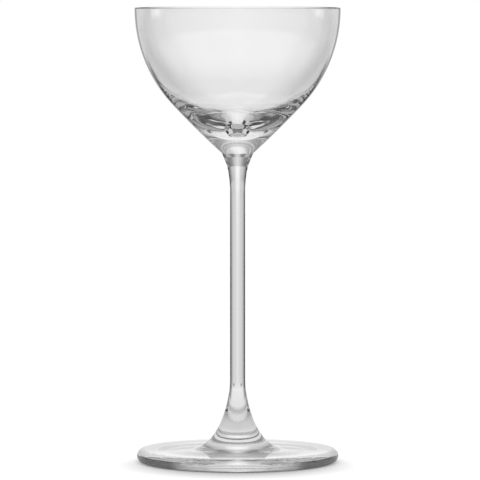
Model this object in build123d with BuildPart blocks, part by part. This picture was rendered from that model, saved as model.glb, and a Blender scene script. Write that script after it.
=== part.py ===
from build123d import *

import os

# A stemmed cocktail glass made of three gathers of glass, fused hot end to end: bowl, stem and foot.
# Millimetres, +Z up, with the origin on the table under the middle of the foot.

# Bowl
rim_diameter = 80.0  # outside, at the lip
wall_thickness = 0.8  # at the lip, which is a full round of this thickness
side_radius = 54.7  # of the arc that the side follows, down from the lip
side_arc = 43.4  # degrees of that arc, from the lip to where the flatter underside starts
inside_radius = 51.0  # of the tighter arc inside the wall, which so thickens on its way down
inside_arc = 33.0  # degrees of that arc, from the lip to where the inside floor starts
inside_depth = 47.4  # from the top of the lip to the middle of the inside floor
floor_side_reach = 16.0  # reach of the inside floor's curve, on down from the wall
floor_middle_reach = 4.0  # the same, out from the blunt point in the middle
floor_slope = 29.0  # degrees, of the floor round the blunt point
floor_point_radius = 11.0  # of the round blunt point
base_thickness = 14.1  # solid glass on the axis, from the inside floor to the weld
boss_diameter = 12.2  # where the underside meets the conical boss
boss_height = 4.9

# Stem
weld_diameter = 8.2  # the stem's head and the boss meet on this circle
head_length = 10.5  # the widening under the weld
stem_diameter = 5.9
stem_length = 82.5  # from weld to weld

# Foot
foot_diameter = 78.6
foot_thickness = 5.05  # the edge is a full round of this thickness
foot_height = 33.0  # from the table to the weld with the stem
trumpet_diameter = 36.0  # where the trumpet runs out on the foot's top
trumpet_neck = 13.0  # reach of the trumpet's curve, down from the stem
trumpet_toe = 8.5  # reach of the trumpet's curve, in along the foot's top
rest_ring_width = 5.5  # the flat ring that the glass stands on
hollow_depth = 1.2  # of the shallow dome under the foot

# Heights
foot_weld_z = foot_height
bowl_weld_z = foot_weld_z + stem_length
boss_top_z = bowl_weld_z + boss_height
floor_z = bowl_weld_z + base_thickness
rim_z = floor_z + inside_depth

# Radii
stem_radius = stem_diameter / 2
weld_radius = weld_diameter / 2
lip_radius = wall_thickness / 2
edge_radius = foot_thickness / 2

# Middles of the side's two arcs, level with the middle of the lip
lip_z = rim_z - lip_radius
side_centre = (rim_diameter / 2 - side_radius, lip_z)
inside_centre = (rim_diameter / 2 - wall_thickness - inside_radius, lip_z)

os.makedirs("parts", exist_ok=True)

# Bowl: thin side, thick solid base and the conical boss that takes the stem
with BuildPart() as bowl:
    with BuildSketch(Plane.XZ):
        with BuildLine():
            weld_face = Line((0, bowl_weld_z), (weld_radius, bowl_weld_z))
            boss = Line(weld_face @ 1, (boss_diameter / 2, boss_top_z))
            lip = CenterArc((rim_diameter / 2 - lip_radius, lip_z), lip_radius, 0, 180)
            side = CenterArc(side_centre, side_radius, 0, -side_arc)
            underside = TangentArc(side @ 1, boss @ 1, tangent=side % 1)
            wall = CenterArc(inside_centre, inside_radius, 0, -inside_arc)
            point = CenterArc((0, floor_z + floor_point_radius), floor_point_radius, -90, floor_slope)
            floor = Bezier(
                wall @ 1,
                wall @ 1 + (wall % 1) * floor_side_reach,
                point @ 1 + (point % 1) * floor_middle_reach,
                point @ 1,
            )
            Line(point @ 0, weld_face @ 0)
        make_face()
    revolve(axis=Axis.Z)
bowl.part.label = "bowl"

# Stem: a drawn rod that widens into its head under the boss
with BuildPart() as stem:
    with BuildSketch(Plane.XZ):
        with BuildLine():
            lower_face = Line((0, foot_weld_z), (stem_radius, foot_weld_z))
            shank = Line(lower_face @ 1, (stem_radius, bowl_weld_z - head_length))
            head = TangentArc(shank @ 1, (weld_radius, bowl_weld_z), tangent=shank % 1)
            upper_face = Line(head @ 1, (0, bowl_weld_z))
            Line(upper_face @ 1, lower_face @ 0)
        make_face()
    revolve(axis=Axis.Z)
stem.part.label = "stem"

# Foot: a disc with a round edge, a trumpet up to the stem and a shallow dome underneath
with BuildPart() as foot:
    with BuildSketch(Plane.XZ):
        with BuildLine():
            edge_centre_radius = foot_diameter / 2 - edge_radius
            hollow_radius = edge_centre_radius - rest_ring_width
            hollow = TangentArc((0, hollow_depth), (hollow_radius, 0), tangent=(1, 0))
            rest_ring = Line(hollow @ 1, (edge_centre_radius, 0))
            edge = CenterArc((edge_centre_radius, edge_radius), edge_radius, -90, 180)
            top = Line(edge @ 1, (trumpet_diameter / 2, foot_thickness))
            trumpet = Bezier(
                top @ 1,
                (trumpet_diameter / 2 - trumpet_toe, foot_thickness),
                (stem_radius, foot_weld_z - trumpet_neck),
                (stem_radius, foot_weld_z),
            )
            foot_weld = Line(trumpet @ 1, (0, foot_weld_z))
            Line(foot_weld @ 1, hollow @ 0)
        make_face()
    revolve(axis=Axis.Z)
foot.part.label = "foot"

export_step(bowl.part, "parts/bowl.step")
export_step(stem.part, "parts/stem.step")
export_step(foot.part, "parts/foot.step")

print(f"height {rim_z:.1f} mm, {rim_diameter:.1f} mm across the lip, {foot_diameter:.1f} mm across the foot")
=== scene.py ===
# %% [markdown]
# # A stemmed cocktail glass
# The glass is three gathers of clear crystal, fused hot end to end: a thin bowl with a thick solid
# base, a drawn stem and a spun foot. Clear glass has hardly any look of its own: the eye sees what it
# bends and mirrors. So this lesson spends its care on two things, true smooth shapes for the light to
# pass through and a studio around them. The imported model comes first, as a fixed frame: every size that
# it can give is read from it.

# %% Load the frame
from math import atan2, cos, pi, radians, sin, tan

import bpy
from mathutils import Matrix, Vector
from mathutils.geometry import interpolate_bezier


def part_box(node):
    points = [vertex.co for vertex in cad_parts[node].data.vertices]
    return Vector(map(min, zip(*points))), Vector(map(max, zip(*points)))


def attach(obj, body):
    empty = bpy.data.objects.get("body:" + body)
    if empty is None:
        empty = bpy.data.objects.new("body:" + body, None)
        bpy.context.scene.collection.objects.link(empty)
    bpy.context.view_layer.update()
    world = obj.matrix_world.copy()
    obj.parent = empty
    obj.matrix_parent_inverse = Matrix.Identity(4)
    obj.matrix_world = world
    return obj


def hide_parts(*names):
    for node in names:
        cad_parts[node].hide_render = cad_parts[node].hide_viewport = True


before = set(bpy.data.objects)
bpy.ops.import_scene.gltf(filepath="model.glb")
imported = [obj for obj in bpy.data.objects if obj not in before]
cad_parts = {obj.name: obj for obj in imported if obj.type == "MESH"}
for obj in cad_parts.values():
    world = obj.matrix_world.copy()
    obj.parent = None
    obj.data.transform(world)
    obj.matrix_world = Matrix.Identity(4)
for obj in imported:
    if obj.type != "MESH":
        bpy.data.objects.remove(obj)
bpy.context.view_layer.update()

MM = 0.001

# %% [markdown]
# ## Outlines
# Each piece is round about the stem's axis, so half of its cut face, turned once round, is the whole
# piece. A lathe outline could be drawn as dozens of loose points, but a maker thinks in a few lines,
# arcs and one free curve. Each helper below returns the points of one such stretch, as (distance from
# the axis, height).

# %% Lines and arcs for outlines
UP = Vector((0, 1))
DOWN = Vector((0, -1))
OUT = Vector((1, 0))
IN = Vector((-1, 0))


def line(start, end, steps):
    return [start.lerp(end, step / steps) for step in range(steps + 1)]


def arc(start, end, heading, steps):
    """The circle that leaves start along heading and ends at end."""
    chord = end - start
    across = heading.x * chord.y - heading.y * chord.x
    sweep = 2 * atan2(across, heading.dot(chord))
    left = Vector((-heading.y, heading.x))
    radius = chord.length_squared / (2 * across)
    centre = start + left * radius
    points = []
    for step in range(steps + 1):
        angle = sweep * step / steps
        turned_heading = Vector((heading.x * cos(angle) - heading.y * sin(angle),
                                 heading.x * sin(angle) + heading.y * cos(angle)))
        points.append(centre + Vector((turned_heading.y, -turned_heading.x)) * radius)
    return points


half_circle = arc(OUT, IN, UP, steps=2)
print("a half circle that starts upwards from (1, 0) passes", [round(value, 3) for value in half_circle[1]])

# %% [markdown]
# ## Turning an outline
# By hand one would start from a single vertex, extrude it along the outline and spin the result. That
# is what this helper does: a plane is merged to one vertex, each step is an extrude, and Spin turns the
# line once round. The ends lie on the axis, so merging the doubles closes the seam and both poles.
# Light bends twice at each wall, which shows every facet, so the turn has many steps and the shading is
# smooth up to a small angle.

# %% A helper that turns an outline
TURN_STEPS = 192
SHARP_ANGLE = radians(15)
MERGE_DISTANCE = 0.0005 * MM


def turned_piece(name, stretches):
    outline = [stretches[0][0]]
    for stretch in stretches:
        outline.extend(stretch[1:])
    bpy.ops.object.select_all(action="DESELECT")
    bpy.ops.mesh.primitive_plane_add(size=MM, location=(0, 0, 0))
    piece = bpy.context.object
    piece.name = name
    bpy.ops.object.mode_set(mode="EDIT")
    bpy.ops.mesh.select_all(action="SELECT")
    bpy.ops.mesh.merge(type="CENTER")
    bpy.ops.transform.translate(value=(outline[0].x, 0, outline[0].y))
    for before, after in zip(outline, outline[1:]):
        move = after - before
        bpy.ops.mesh.extrude_region_move(TRANSFORM_OT_translate={"value": (move.x, 0, move.y)})
    bpy.ops.mesh.select_all(action="SELECT")
    bpy.ops.mesh.spin(steps=TURN_STEPS, angle=2 * pi, center=(0, 0, 0), axis=(0, 0, 1))
    bpy.ops.mesh.select_all(action="SELECT")
    bpy.ops.mesh.remove_doubles(threshold=MERGE_DISTANCE)
    bpy.ops.mesh.normals_make_consistent(inside=False)
    bpy.ops.object.mode_set(mode="OBJECT")
    bpy.ops.object.shade_smooth_by_angle(angle=SHARP_ANGLE)
    print(name, len(outline), "outline points,", len(piece.data.polygons), "faces")
    return piece


print("one turn is", TURN_STEPS, "steps of", 360 / TURN_STEPS, "degrees")

# %% [markdown]
# ## The bowl
# The bowl is blown in a mould: its side follows one large arc, and the wall is under a millimetre at
# the lip. The inside follows a tighter arc, so the wall thickens on its way down. Below the shoulder
# the outside runs flatter to a conical boss while the inside dips to a blunt point, and the glass
# between them is the heavy lens that shows as the bright and grey shapes over the stem. The rim is
# fire-polished to a full round. A thin shell with a Solidify modifier would have one thickness all
# over, so the outline draws the outside and the inside one by one.

# %% Sizes of the bowl
bowl_low, bowl_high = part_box("bowl")
stem_low, stem_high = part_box("stem")
foot_low, foot_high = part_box("foot")

rim_radius = bowl_high[0]
weld_radius = stem_high[0]
bowl_weld_height = bowl_low[2]
wall = 0.8 * MM
lip_height = bowl_high[2] - wall / 2
side_radius = 54.7 * MM
side_arc = radians(43.4)
inside_radius = 51 * MM
inside_arc = radians(33)
boss_radius = 6.1 * MM
boss_top = bowl_weld_height + 4.9 * MM
floor_height = bowl_weld_height + 14.1 * MM
floor_side_reach = 16 * MM
floor_middle_reach = 4 * MM
floor_slope = radians(29)
floor_point_radius = 11 * MM
inside_depth = bowl_high[2] - floor_height
print("bowl", round(2 * rim_radius / MM, 1), "mm across,", round(inside_depth / MM, 1), "mm deep inside")

# %% Corners of the bowl's outline
bowl_weld_middle = Vector((0, bowl_weld_height))
bowl_weld_rim = Vector((weld_radius, bowl_weld_height))
boss_rim = Vector((boss_radius, boss_top))
lip_outside = Vector((rim_radius, lip_height))
lip_inside = Vector((rim_radius - wall, lip_height))

side_middle = lip_outside + IN * side_radius
shoulder = side_middle + Vector((cos(side_arc), -sin(side_arc))) * side_radius
shoulder_heading = Vector((-sin(side_arc), -cos(side_arc)))

inside_middle = lip_inside + IN * inside_radius
wall_end = inside_middle + Vector((cos(inside_arc), -sin(inside_arc))) * inside_radius
wall_heading = Vector((-sin(inside_arc), -cos(inside_arc)))

floor_middle = Vector((0, floor_height))
point_middle = floor_middle + UP * floor_point_radius
point_rim = point_middle + Vector((sin(floor_slope), -cos(floor_slope))) * floor_point_radius
point_heading = Vector((cos(floor_slope), sin(floor_slope)))
print("shoulder at", [round(value / MM, 1) for value in shoulder], "mm")
print("wall ends at", [round(value / MM, 1) for value in wall_end], "mm")

# %% Turn the bowl
side = arc(lip_outside, shoulder, DOWN, steps=90)
underside = arc(shoulder, boss_rim, shoulder_heading, steps=60)
inside_wall = arc(lip_inside, wall_end, DOWN, steps=90)
FLOOR_POINTS = 100
bowl_floor = interpolate_bezier(
    wall_end,
    wall_end + wall_heading * floor_side_reach,
    point_rim + point_heading * floor_middle_reach,
    point_rim,
    FLOOR_POINTS,
)
bowl = turned_piece("bowl_glass", [
    line(bowl_weld_middle, bowl_weld_rim, steps=4),
    line(bowl_weld_rim, boss_rim, steps=10),
    underside[::-1],
    side[::-1],
    arc(lip_outside, lip_inside, UP, steps=14),
    inside_wall,
    bowl_floor,
    arc(point_rim, floor_middle, -point_heading, steps=20),
])

# %% [markdown]
# ## The stem
# The stem is drawn out of a gather stuck to the boss: a straight rod that widens into a short head
# under the weld. A cylinder with a scaled end would have a kink where the head starts. An arc that
# leaves the rod along its side has none, and the light in the rod runs on into the head without a
# break.

# %% Turn the stem
stem_radius = 2.95 * MM
head_length = 10.5 * MM
stem_foot_middle = Vector((0, stem_low[2]))
stem_foot_rim = Vector((stem_radius, stem_low[2]))
head_start = Vector((stem_radius, stem_high[2] - head_length))

stem = turned_piece("stem_glass", [
    line(stem_foot_middle, stem_foot_rim, steps=4),
    line(stem_foot_rim, head_start, steps=40),
    arc(head_start, bowl_weld_rim, UP, steps=30),
    line(bowl_weld_rim, bowl_weld_middle, steps=4),
])

# %% [markdown]
# ## The foot
# The foot is a disc spun flat from a gather on the stem's end: a trumpet runs out into the flat top,
# the edge is a full round, and a shallow dome underneath leaves a flat ring for the glass to stand on.
# The trumpet is steep at the stem and level at the disc, which no single arc can follow, so it is a
# free curve with a reach at each end.

# %% Sizes of the foot
foot_radius = foot_high[0]
foot_thickness = 5.05 * MM
trumpet_radius = 18 * MM
trumpet_neck = 13 * MM
trumpet_toe = 8.5 * MM
rest_ring_width = 5.5 * MM
hollow_depth = 1.2 * MM
foot_height = foot_high[2] - foot_low[2]
print("foot", round(2 * foot_radius / MM, 1), "mm across,", round(foot_height / MM, 1), "mm up to the weld")

# %% Turn the foot
edge_centre = foot_radius - foot_thickness / 2
hollow_middle = Vector((0, hollow_depth))
hollow_rim = Vector((edge_centre - rest_ring_width, 0))
ring_rim = Vector((edge_centre, 0))
top_rim = Vector((edge_centre, foot_thickness))
trumpet_end = Vector((trumpet_radius, foot_thickness))
TRUMPET_POINTS = 90
trumpet = interpolate_bezier(
    trumpet_end,
    trumpet_end + IN * trumpet_toe,
    stem_foot_rim + DOWN * trumpet_neck,
    stem_foot_rim,
    TRUMPET_POINTS,
)
foot = turned_piece("foot_glass", [
    arc(hollow_middle, hollow_rim, OUT, steps=60),
    line(hollow_rim, ring_rim, steps=10),
    arc(ring_rim, top_rim, OUT, steps=40),
    line(top_rim, trumpet_end, steps=30),
    trumpet,
    line(stem_foot_rim, stem_foot_middle, steps=4),
])

# %% [markdown]
# ## Ripples of the blown base
# A blown base is never as true as a turned one: the mould and the cooling leave low ripples in it. Seen
# through the lens of the base they draw the light and dark squiggles. A bump in the material would fake
# them on the surface alone, so the inside floor is really displaced, by a soft cloud noise of at most a
# fifth of a millimetre from trough to crest. A vertex group says how much of it each place takes: none
# in the middle, all of it round the floor's side, and none again at the wall.

# %% Choose where the inside floor ripples
RIPPLE_START = 10 * MM
RIPPLE_MIDDLE = 16 * MM
RIPPLE_END = 26 * MM

ripple_group = bowl.vertex_groups.new(name="inside floor")
for vertex in bowl.data.vertices:
    radius = Vector(vertex.co[:2]).length
    inner = (radius - RIPPLE_START) / (RIPPLE_MIDDLE - RIPPLE_START)
    outer = (RIPPLE_END - radius) / (RIPPLE_END - RIPPLE_MIDDLE)
    if min(inner, outer) > 0 and vertex.normal.z > 0:
        ripple_group.add([vertex.index], min(inner, outer), "REPLACE")
print(sum(1 for vertex in bowl.data.vertices if vertex.groups), "vertices of the inside floor ripple")

# %% Ripple the inside floor
RIPPLE_DEPTH = 0.20 * MM
RIPPLE_LENGTH = 6 * MM

ripple_noise = bpy.data.textures.new("ripples", "CLOUDS")
ripple_noise.noise_scale = RIPPLE_LENGTH
ripple_noise.noise_depth = 0
bpy.ops.object.select_all(action="DESELECT")
bowl.select_set(True)
bpy.context.view_layer.objects.active = bowl
bpy.ops.object.modifier_add(type="DISPLACE")
ripples = bowl.modifiers[-1]
ripples.texture = ripple_noise
ripples.texture_coords = "LOCAL"
ripples.strength = RIPPLE_DEPTH
ripples.vertex_group = ripple_group.name
bpy.ops.object.modifier_apply(modifier=ripples.name)
print("ripples up to", round(RIPPLE_DEPTH / MM, 2), "mm deep,", round(RIPPLE_LENGTH / MM), "mm long")

# %% [markdown]
# ## Helpers for materials
# Every material here is a small tree of nodes. By hand one adds a node, sets its values and drags its
# links, so one helper does just that, and can fill a colour ramp with greys. Colours are written as
# sRGB hex values, as in any paint program, and turned to the linear values that light adds up in.

# %% Colours, nodes and empty materials
def colour(hex_code):
    channels = [int(hex_code[place:place + 2], 16) / 255 for place in (1, 3, 5)]
    return [c / 12.92 if c <= 0.04045 else ((c + 0.055) / 1.055) ** 2.4 for c in channels] + [1]


def add_node(tree, kind, values={}, links={}, stops=(), **settings):
    """Adds a node: values set its inputs, links join them to outputs and stops fill its ramp with greys."""
    node = tree.nodes.new(kind)
    for name, value in settings.items():
        setattr(node, name, value)
    for key, value in values.items():
        node.inputs[key].default_value = value
    for key, output in links.items():
        tree.links.new(output, node.inputs[key])
    if stops:
        elements = node.color_ramp.elements
        while len(elements) < len(stops):
            elements.new(0.5)
        for element, (place, light) in zip(elements, stops):
            element.position = place
            element.color = (light, light, light, 1)
    return node


def empty_material(name):
    material = bpy.data.materials.new(name)
    material.use_nodes = True
    material.node_tree.nodes.clear()
    return material, material.node_tree


print("a middle grey, #808080, is", round(colour("#808080")[0], 3), "of full light")

# %% [markdown]
# ## Crystal
# All three pieces are lead-free crystal: an index of refraction of about 1.52, no colour to speak of
# and a fire-polished surface. One could give all of them one perfect glass, but a real surface shows
# how it was made, so each has its own low waves in the gloss and as a bump. Their outlines carry painted
# shade. Layer Weight's Facing output is 0 face-on and 1 edge-on, and with it a dark tone is painted on the
# outline of the bowl and of the stem, standing in for the dark sides of the studio seen along the wall.
# On the foot the painted shade lies only on the lower part of the round edge, and only towards its left
# and right ends, where the eye looks along the rim.

# %% How far outer glass is seen edge-on, for its painted shade
EVEN_BLEND = 0.5


def painted_edge_shade_share(tree, place, edge_range, edge_drop, edge_reach):
    """From 0 to 1, the share of painted shade: edge_drop moves the painted dark edge down, and edge_reach
    keeps it to the outside.
    """
    level = add_node(tree, "ShaderNodeVectorMath", {1: (1, 1, 0)}, {0: place.outputs["Object"]},
                     operation="MULTIPLY")
    facing = add_node(tree, "ShaderNodeLayerWeight", {"Blend": EVEN_BLEND})
    if edge_drop:
        # A round edge counts as upright here, or its top and bottom would be edge-on all the way round
        from_axis = add_node(tree, "ShaderNodeVectorMath", {}, {0: level.outputs[0]}, operation="NORMALIZE")
        upright = add_node(tree, "ShaderNodeVectorTransform", {}, {0: from_axis.outputs[0]},
                           vector_type="VECTOR", convert_from="OBJECT", convert_to="WORLD")
        tree.links.new(upright.outputs[0], facing.inputs["Normal"])
    edge_on = add_node(tree, "ShaderNodeMapRange", {"From Min": edge_range[0], "From Max": edge_range[1]},
                       {"Value": facing.outputs["Facing"]}, interpolation_type="SMOOTHSTEP")
    dropped = add_node(tree, "ShaderNodeVectorMath", {1: (0, 0, -edge_drop)}, {0: level.outputs[0]},
                       operation="ADD")
    outward = add_node(tree, "ShaderNodeVectorMath", {},
                       {0: place.outputs["Normal"], 1: dropped.outputs[0]}, operation="DOT_PRODUCT")
    outside = add_node(tree, "ShaderNodeMath", {1: edge_reach}, {0: outward.outputs["Value"]},
                       operation="GREATER_THAN")
    return add_node(tree, "ShaderNodeMath", {}, {0: edge_on.outputs[0], 1: outside.outputs[0]},
                    operation="MULTIPLY")


print("edges are judged with an even blend of", EVEN_BLEND)

# %% Crystal glass
CRYSTAL_COLOUR = colour("#FDFDFD")
CRYSTAL_IOR = 1.52
WAVE_DETAIL = 2
WAVE_DEPTH = 0.001 * MM
WAVE_ROUGHNESS = 0.01


def crystal(name, wave_size, painted_edge_shade, edge_range, edge_drop, edge_reach):
    """Clear glass: wave_size is its waves' length along x, y and z, and its outline gets painted shade in
    the given tone.
    """
    material, tree = empty_material(name)
    place = add_node(tree, "ShaderNodeTexCoord")
    stretch = add_node(tree, "ShaderNodeMapping", {"Scale": [1 / size for size in wave_size]},
                       {"Vector": place.outputs["Object"]})
    waves = add_node(tree, "ShaderNodeTexNoise", {"Scale": 1, "Detail": WAVE_DETAIL},
                     {"Vector": stretch.outputs[0]})
    polish = add_node(tree, "ShaderNodeMapRange", {"To Min": 0, "To Max": WAVE_ROUGHNESS},
                      {"Value": waves.outputs[0]})
    bump = add_node(tree, "ShaderNodeBump", {"Strength": 1, "Distance": WAVE_DEPTH},
                    {"Height": waves.outputs[0]})
    edge = painted_edge_shade_share(tree, place, edge_range, edge_drop, edge_reach)
    # Painted shade: the glass's colour turns to the edge tone where it is seen edge-on.
    tone = add_node(tree, "ShaderNodeMixRGB", {1: CRYSTAL_COLOUR, 2: colour(painted_edge_shade)},
                    {0: edge.outputs[0]})
    glass = add_node(tree, "ShaderNodeBsdfPrincipled", {"IOR": CRYSTAL_IOR, "Transmission Weight": 1},
                     {"Base Color": tone.outputs[0], "Roughness": polish.outputs[0],
                      "Normal": bump.outputs[0]})
    add_node(tree, "ShaderNodeOutputMaterial", links={"Surface": glass.outputs[0]})
    return material


print("crystal bends light by", CRYSTAL_IOR, "and its waves are", round(WAVE_DEPTH / MM, 4), "mm deep")

# %% [markdown]
# ## Blown, drawn and spun
# The three finishes differ in their waves and in how much shade is painted on their outline. The thin
# bowl has the darkest painted outline, as a fine line. The solid stem already bends the dark sides of
# the studio into its edges and needs little painted shade more, and the foot's painted edge lies between
# the two.

# %% Blown crystal for the bowl
# Blown and fire-polished in the flame: a hard even gloss with waves about a centimetre long, too low to
# see one by one, and a thin line of painted shade round the outside.
BLOWN_WAVES = (9 * MM, 9 * MM, 9 * MM)
EDGE_RANGE = (0.77, 0.84)
NO_DROP = 0
OUTER_REACH = MM
blown_crystal = crystal("blown_crystal", BLOWN_WAVES, "#101010", EDGE_RANGE, NO_DROP, OUTER_REACH)
bowl.data.materials.append(blown_crystal)
print(blown_crystal.name, len(blown_crystal.node_tree.nodes), "nodes")

# %% Drawn crystal for the stem
# Drawn out while soft: the same gloss, with faint lines along the pull. Real ones are about a tenth of
# a millimetre apart, too fine for the picture, so they are drawn 1.5 mm apart.
DRAWN_WAVES = (1.5 * MM, 1.5 * MM, 40 * MM)
# Its outline gets a light grey of painted shade.
drawn_crystal = crystal("drawn_crystal", DRAWN_WAVES, "#A0A0A0", EDGE_RANGE, NO_DROP, OUTER_REACH)
stem.data.materials.append(drawn_crystal)
print(drawn_crystal.name, len(drawn_crystal.node_tree.nodes), "nodes")

# %% Spun crystal for the foot
# Spun flat and cooled in the open: waves a little shorter than the bowl's. Within about 20 degrees of the
# front the edge is clear, and from about 45 degrees round it is painted dark, which shows the foot's two
# ends.
SPUN_WAVES = (6 * MM, 6 * MM, 6 * MM)
FOOT_EDGE_RANGE = (0.06, 0.28)
FOOT_EDGE_DROP = 30 * MM
FOOT_EDGE_REACH = 30 * MM
spun_crystal = crystal("spun_crystal", SPUN_WAVES, "#505050", FOOT_EDGE_RANGE, FOOT_EDGE_DROP,
                       FOOT_EDGE_REACH)
foot.data.materials.append(spun_crystal)
print(spun_crystal.name, len(spun_crystal.node_tree.nodes), "nodes")

# %% [markdown]
# ## Welds
# At a hot weld two gathers become one glass, so light crosses it as if nothing were there. One could
# join the three meshes and lose the faces between them, but each piece is a closed shape of its own. So
# its faces on a weld stay, and are clear to all light: no bending, no mirror.

# %% Clear faces on the welds
# Fused while hot: nothing to see, so the material only lets light pass.
FLAT = 0.99
fused_weld, weld_tree = empty_material("fused_weld")
clear = add_node(weld_tree, "ShaderNodeBsdfTransparent")
add_node(weld_tree, "ShaderNodeOutputMaterial", links={"Surface": clear.outputs[0]})
for piece in (bowl, stem, foot):
    piece.data.materials.append(fused_weld)
    weld_slot = len(piece.data.materials) - 1
    welded = 0
    for face in piece.data.polygons:
        off_weld = min(abs(face.center.z - stem_low[2]), abs(face.center.z - stem_high[2]))
        if off_weld < MERGE_DISTANCE and abs(face.normal.z) > FLAT:
            face.material_index = weld_slot
            welded += 1
    print(piece.name, welded, "faces on welds")

# %% [markdown]
# ## Pieces and frame
# The three turned pieces take the place of the imported model's own solids, which are coarser. Nothing on
# a glass moves, so all three ride on the one body. Each prints the solid that it stands for and its finish.

# %% Tie the pieces to the frame
PIECES = (
    (bowl, "bowl", "blown_glass"),
    (stem, "stem", "drawn_glass"),
    (foot, "foot", "spun_glass"),
)
for piece, node, slot in PIECES:
    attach(piece, "root")
    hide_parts(node)
    print(piece.name, "stands for", node, "in", slot)

# %% [markdown]
# ## Table
# The glass stands on a pale table that runs into a white background. A large plane would show its far
# edge in the glass, so the table is a disc that fades out round the foot. The camera sees painted board
# with the glass's shadow on it, lifted to white by a little light of its own; that light drops away close
# in front of the foot and so paints most of the shadow there. The glass shows a table of another light,
# painted as a glow that only rays through the glass see: bright behind, towards the lit cloth of the
# studio, dark far out at both sides, dim in front, and with painted rings of shade round the foot. That
# gives the trumpet its dark edges and the foot its grey rings. All lights below are counted as shares of
# white.

# %% The table's disc
TABLE_RADIUS = 0.20

bpy.ops.object.select_all(action="DESELECT")
bpy.ops.mesh.primitive_circle_add(vertices=128, radius=TABLE_RADIUS, fill_type="NGON", location=(0, 0, 0))
table = bpy.context.object
table.name = "table"
print(table.name, round(2 * TABLE_RADIUS, 2), "m across")

# %% What the camera sees of the table
# White board, painted matt: an even pale tone that takes a soft shadow. The light that lifts the board to
# white is held back close in front of the foot, which paints the shadow that lies towards the camera, so it
# is counted from a point in front of the stem's axis.
# Stops: millimetres from that point and the lift there; the low ones paint the shadow in front of the foot.
LIFT_AND_PAINTED_SHADOW = [(0, .0), (25, .0), (32, .15), (40, .34), (48, .50)]
SHADOW_SIDE = 16 * MM


def shares(stops, span):
    """The same stops, with their places as shares of the span."""
    return [(place / span, light) for place, light in stops]


white_table, table_tree = empty_material("white_table")
table_place = add_node(table_tree, "ShaderNodeTexCoord")
table_path = add_node(table_tree, "ShaderNodeLightPath")
shifted = add_node(table_tree, "ShaderNodeVectorMath", {1: (0, SHADOW_SIDE, 0)},
                   {0: table_place.outputs["Object"]}, operation="ADD")
shadow_reach = add_node(table_tree, "ShaderNodeVectorMath", {}, {0: shifted.outputs[0]}, operation="LENGTH")
shadow_share = add_node(table_tree, "ShaderNodeMath", {1: 1 / TABLE_RADIUS},
                        {0: shadow_reach.outputs["Value"]}, operation="MULTIPLY")
rise = add_node(table_tree, "ShaderNodeValToRGB", {}, {0: shadow_share.outputs[0]},
                stops=shares(LIFT_AND_PAINTED_SHADOW, TABLE_RADIUS / MM))
lift = add_node(table_tree, "ShaderNodeMath", {},
                {0: table_path.outputs["Is Camera Ray"], 1: rise.outputs[0]}, operation="MULTIPLY")
own_light = add_node(table_tree, "ShaderNodeEmission", {}, {"Strength": lift.outputs[0]})
paint = add_node(table_tree, "ShaderNodeBsdfDiffuse", {"Color": colour("#E7E7E7")})
lit_paint = add_node(table_tree, "ShaderNodeAddShader", {}, {0: paint.outputs[0], 1: own_light.outputs[0]})
print("own light up to", LIFT_AND_PAINTED_SHADOW[-1][1], "from", LIFT_AND_PAINTED_SHADOW[-1][0], "mm out")

# %% What the glass shows of the table
# Each stop is a distance from the stem's axis in millimetres and the light painted there, as a glow that
# only rays through the glass see. Its dips round the foot are painted shade.
BEHIND = [(0, .60), (10, .65), (20, .80), (28, .80), (31, .55), (36, .55), (40, .80), (120, .88)]
BESIDE = [(0, .60), (10, .65), (20, .80), (28, .80), (31, .55), (36, .55), (45, .80), (65, .25), (120, .10)]
IN_FRONT = [(0, .08), (20, .10), (26, .50), (30, .90), (35.5, .90), (37, .03), (50, .03), (60, .18),
            (120, .30)]
# Cosines of the angle off straight behind: beside from about 47 degrees on, behind within about 22
BESIDE_UP_TO = 0.68
BEHIND_FROM = 0.93
FRONT_UP_TO = -16 * MM
BACK_FROM = 6 * MM

reach = add_node(table_tree, "ShaderNodeVectorMath", {}, {0: table_place.outputs["Object"]},
                 operation="LENGTH")
reach_share = add_node(table_tree, "ShaderNodeMath", {1: 1 / TABLE_RADIUS}, {0: reach.outputs["Value"]},
                       operation="MULTIPLY")
behind, beside, in_front = [
    add_node(table_tree, "ShaderNodeValToRGB", {}, {0: reach_share.outputs[0]},
             stops=shares(stops, TABLE_RADIUS / MM))
    for stops in (BEHIND, BESIDE, IN_FRONT)
]
direction = add_node(table_tree, "ShaderNodeVectorMath", {}, {0: table_place.outputs["Object"]},
                     operation="NORMALIZE")
bearing = add_node(table_tree, "ShaderNodeSeparateXYZ", {}, {0: direction.outputs[0]})
ahead = add_node(table_tree, "ShaderNodeMapRange", {"From Min": BESIDE_UP_TO, "From Max": BEHIND_FROM},
                 {"Value": bearing.outputs["Y"]}, interpolation_type="SMOOTHSTEP")
beyond = add_node(table_tree, "ShaderNodeMixRGB", {},
                  {0: ahead.outputs[0], 1: beside.outputs[0], 2: behind.outputs[0]})
table_spot = add_node(table_tree, "ShaderNodeSeparateXYZ", {}, {0: table_place.outputs["Object"]})
depth = add_node(table_tree, "ShaderNodeMapRange", {"From Min": FRONT_UP_TO, "From Max": BACK_FROM},
                 {"Value": table_spot.outputs["Y"]}, interpolation_type="SMOOTHSTEP")
shown = add_node(table_tree, "ShaderNodeMixRGB", {},
                 {0: depth.outputs[0], 1: in_front.outputs[0], 2: beyond.outputs[0]})
# The table glows with this painted light and shade, and only rays through the glass take it.
painted_table_glow = add_node(table_tree, "ShaderNodeEmission", {}, {"Color": shown.outputs[0]})
print("the glass shows", len(BEHIND), "stops behind,", len(BESIDE), "beside and", len(IN_FRONT), "in front")

# %% Fade the table out
TABLE_FADE_START = 0.13
TABLE_FADE_END = 0.19

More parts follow.
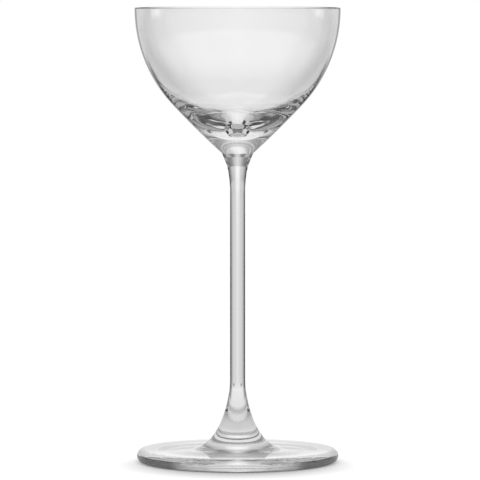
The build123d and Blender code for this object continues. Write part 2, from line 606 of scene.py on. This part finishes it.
seen = add_node(table_tree, "ShaderNodeMixShader", {},
                {0: table_path.outputs["Is Transmission Ray"], 1: lit_paint.outputs[0],
                 2: painted_table_glow.outputs[0]})
fade = add_node(table_tree, "ShaderNodeMapRange",
                {"From Min": TABLE_FADE_START, "From Max": TABLE_FADE_END},
                {"Value": reach.outputs["Value"]}, interpolation_type="SMOOTHSTEP")
nothing = add_node(table_tree, "ShaderNodeBsdfTransparent")
faded = add_node(table_tree, "ShaderNodeMixShader", {},
                 {0: fade.outputs[0], 1: seen.outputs[0], 2: nothing.outputs[0]})
add_node(table_tree, "ShaderNodeOutputMaterial", {}, {"Surface": faded.outputs[0]})
table.data.materials.append(white_table)
print(white_table.name, "fades out between", TABLE_FADE_START, "and", TABLE_FADE_END, "m")

# %% [markdown]
# ## Studio
# Glass is photographed inside a light tent: a bright cloth behind it, which it passes straight on, and
# darker cloth at the sides, which its edges bend towards the camera and show as thin dark lines. Lamps
# and cards could be set up one by one, but each would show in the glass in many places at once. So the
# tent here is a sphere that gives light. Its light goes by the angle round the glass, counted from
# straight behind, in seven bands from low to high. A dark flag low down on both sides draws the line
# round the lower bowl, and a narrow bright strip far round at eye level draws the pale squiggles in the
# base.

# %% The bands of the light tent
# Each stop is an angle in degrees round from straight behind and the light there.
LOW = [(0, .92), (10, .80), (17, .70), (20, .22), (24, .22), (28, .50), (40, .50), (50, .05), (60, .05),
       (75, .36), (100, .30), (112, .70), (150, .60)]
BELOW = [(0, .98), (1, .94), (2, .84), (4, .80), (7, .92), (11, .92), (14, .70), (16, .05), (25, .05),
         (28, .50), (38, .50), (46, .10), (54, .02), (70, .12), (84, .0)]
STEM_LEVEL = [(0, .93), (1, .89), (3, .79), (10, .76), (25, .70), (34, .52), (43, .38), (51, .06),
              (64, .02), (70, .10), (84, .0)]
EYE_LEVEL = [(0, 1.02), (1, .98), (2, .94), (4, .92), (9, .90), (12, .70), (27, .65), (36, .60), (44, .45),
             (51, .10), (57, .02), (65, .02), (69, .80), (80, .80), (85, .0)]
UPPER = [(0, 1.02), (1, .98), (4, .93), (8, .87), (14, .64), (26, .56), (34, .38), (46, .28), (54, .0),
         (64, .0), (70, .10), (84, .0), (96, .40), (150, .40)]
HIGH = [(0, .70), (10, .55), (22, .26), (45, .15), (60, .15), (78, .45), (130, .45), (160, .20)]
TOP = [(0, .60), (50, .60), (96, .60), (140, .10)]
HALF_TURN = 180
# Each further band takes over from the one under it between two heights, in degrees over the tent's
# middle
FURTHER_BANDS = (
    (BELOW, -17.5, -14.5),
    (STEM_LEVEL, -12, -9.5),
    (EYE_LEVEL, -4.5, -1),
    (UPPER, 3, 6),
    (HIGH, 18, 28),
    (TOP, 50, 66),
)
print("tent with", 1 + len(FURTHER_BANDS), "bands of light")

# %% The tent's sphere
TENT_RADIUS = 3.0
TENT_HEIGHT = 0.08

bpy.ops.object.select_all(action="DESELECT")
bpy.ops.mesh.primitive_uv_sphere_add(segments=64, ring_count=32, radius=TENT_RADIUS,
                                     location=(0, 0, TENT_HEIGHT))
bpy.ops.object.shade_smooth()
tent = bpy.context.object
tent.name = "light_tent"
tent.visible_camera = False
tent.visible_shadow = False
tent.visible_diffuse = False
print(tent.name, 2 * TENT_RADIUS, "m across, shown by the glass alone")

# %% The tent's cloth
# White cloth lit from outside: no texture at this distance, only its soft change of light.
lit_cloth, tent_tree = empty_material("lit_cloth")
tent_place = add_node(tent_tree, "ShaderNodeTexCoord")
tent_spot = add_node(tent_tree, "ShaderNodeSeparateXYZ", {}, {0: tent_place.outputs["Object"]})
turn = add_node(tent_tree, "ShaderNodeMath", {}, {0: tent_spot.outputs["X"], 1: tent_spot.outputs["Y"]},
                operation="ARCTAN2")
off_behind = add_node(tent_tree, "ShaderNodeMath", {}, {0: turn.outputs[0]}, operation="ABSOLUTE")
turn_share = add_node(tent_tree, "ShaderNodeMath", {1: 1 / pi}, {0: off_behind.outputs[0]},
                      operation="MULTIPLY")
rise_share = add_node(tent_tree, "ShaderNodeMath", {1: 1 / TENT_RADIUS}, {0: tent_spot.outputs["Z"]},
                      operation="MULTIPLY")
tilt = add_node(tent_tree, "ShaderNodeMath", {}, {0: rise_share.outputs[0]}, operation="ARCSINE")
light = add_node(tent_tree, "ShaderNodeValToRGB", {}, {0: turn_share.outputs[0]},
                 stops=shares(LOW, HALF_TURN))
for stops, band_start, band_full in FURTHER_BANDS:
    band = add_node(tent_tree, "ShaderNodeValToRGB", {}, {0: turn_share.outputs[0]},
                    stops=shares(stops, HALF_TURN))
    above = add_node(tent_tree, "ShaderNodeMapRange",
                     {"From Min": radians(band_start), "From Max": radians(band_full)},
                     {"Value": tilt.outputs[0]}, interpolation_type="SMOOTHSTEP")
    light = add_node(tent_tree, "ShaderNodeMixRGB", {},
                     {0: above.outputs[0], 1: light.outputs[0], 2: band.outputs[0]})
glow = add_node(tent_tree, "ShaderNodeEmission", {}, {"Color": light.outputs[0]})
add_node(tent_tree, "ShaderNodeOutputMaterial", {}, {"Surface": glow.outputs[0]})
tent.data.materials.append(lit_cloth)
print(lit_cloth.name, len(lit_cloth.node_tree.nodes), "nodes")

# %% [markdown]
# ## World and lamp
# The camera sees a plain white background, but as much light on the table would wash the shadow out. So
# the world is white for the camera's own rays and dimmer for all others, and a wide lamp overhead gives
# the shadow its soft edge. The lamp would show as a bright square in the glass, so glass neither
# mirrors it nor lets it through.

# %% The world
WHITE_STRENGTH = 1.0
WORLD_STRENGTH = 0.55

world = bpy.data.worlds.new("white_studio")
bpy.context.scene.world = world
world.use_nodes = True
world_tree = world.node_tree
world_tree.nodes.clear()
world_path = add_node(world_tree, "ShaderNodeLightPath")
strength = add_node(world_tree, "ShaderNodeMapRange", {"To Min": WORLD_STRENGTH, "To Max": WHITE_STRENGTH},
                    {"Value": world_path.outputs["Is Camera Ray"]})
white = add_node(world_tree, "ShaderNodeBackground", {"Color": colour("#FFFFFF")},
                 {"Strength": strength.outputs[0]})
add_node(world_tree, "ShaderNodeOutputWorld", {}, {"Surface": white.outputs[0]})
print(world.name, WHITE_STRENGTH, "for the camera and", WORLD_STRENGTH, "for the table")

# %% The lamp
LAMP_HEIGHT = 1.2
LAMP_SIZE = 1.2
LAMP_POWER = 4

bpy.ops.object.light_add(type="AREA", location=(0, 0, LAMP_HEIGHT))
lamp = bpy.context.object
lamp.name = "overhead_lamp"
lamp.data.size = LAMP_SIZE
lamp.data.energy = LAMP_POWER
lamp.visible_glossy = False
lamp.visible_transmission = False
print(lamp.name, LAMP_POWER, "W,", LAMP_SIZE, "m across")

# %% [markdown]
# ## Camera
# The rim shows as a thin line and both sides of the foot as nearly level, so the camera stands far off,
# with a long lens, a little over the height of the rim. A near camera could frame the glass as well,
# but would show the rim as an oval and the foot from above. The table's light and the tent turn with
# the camera, as a photographer turns the glass and not the studio. A Locked Track constraint does that,
# about the upright axis alone.

# %% The camera
SENSOR = 36
LENS = 328.2
CAMERA_DISTANCE = 1.70
CAMERA_SIDE = 0.93 * MM
RIM_TILT = radians(0.45)
AIM_HEIGHT = 86.6 * MM

camera_height = bowl_high[2] + CAMERA_DISTANCE * tan(RIM_TILT)
camera_place = Vector((CAMERA_SIDE, -CAMERA_DISTANCE, camera_height))
bpy.ops.object.camera_add(location=camera_place)
camera = bpy.context.object
aim = Vector((CAMERA_SIDE, 0, AIM_HEIGHT)) - camera_place
camera.rotation_euler = aim.to_track_quat("-Z", "Y").to_euler()
camera.data.sensor_width = SENSOR
camera.data.lens = LENS
bpy.context.scene.camera = camera
print("camera", round((camera_height - bowl_high[2]) / MM, 1), "mm over the rim,", CAMERA_DISTANCE, "m off")

# %% Turn the studio with the camera
for stage_piece in (table, tent):
    track = stage_piece.constraints.new("LOCKED_TRACK")
    track.target = camera
    track.track_axis = "TRACK_NEGATIVE_Y"
    track.lock_axis = "LOCK_Z"
    print(stage_piece.name, "turns with the camera")

# %% [markdown]
# ## Long light paths
# A ray through the base and the stem can meet a dozen surfaces and more. Blender gives up after a few
# and leaves black there, which could be hidden with more light. Letting each ray go on until it gets
# out is truer.

# %% Bounces and view
BOUNCES = 32

cycles = bpy.context.scene.cycles
cycles.max_bounces = BOUNCES
cycles.glossy_bounces = BOUNCES
cycles.transmission_bounces = BOUNCES
cycles.transparent_max_bounces = BOUNCES
bpy.context.scene.view_settings.view_transform = "Standard"
print("rays go on for", BOUNCES, "bounces")
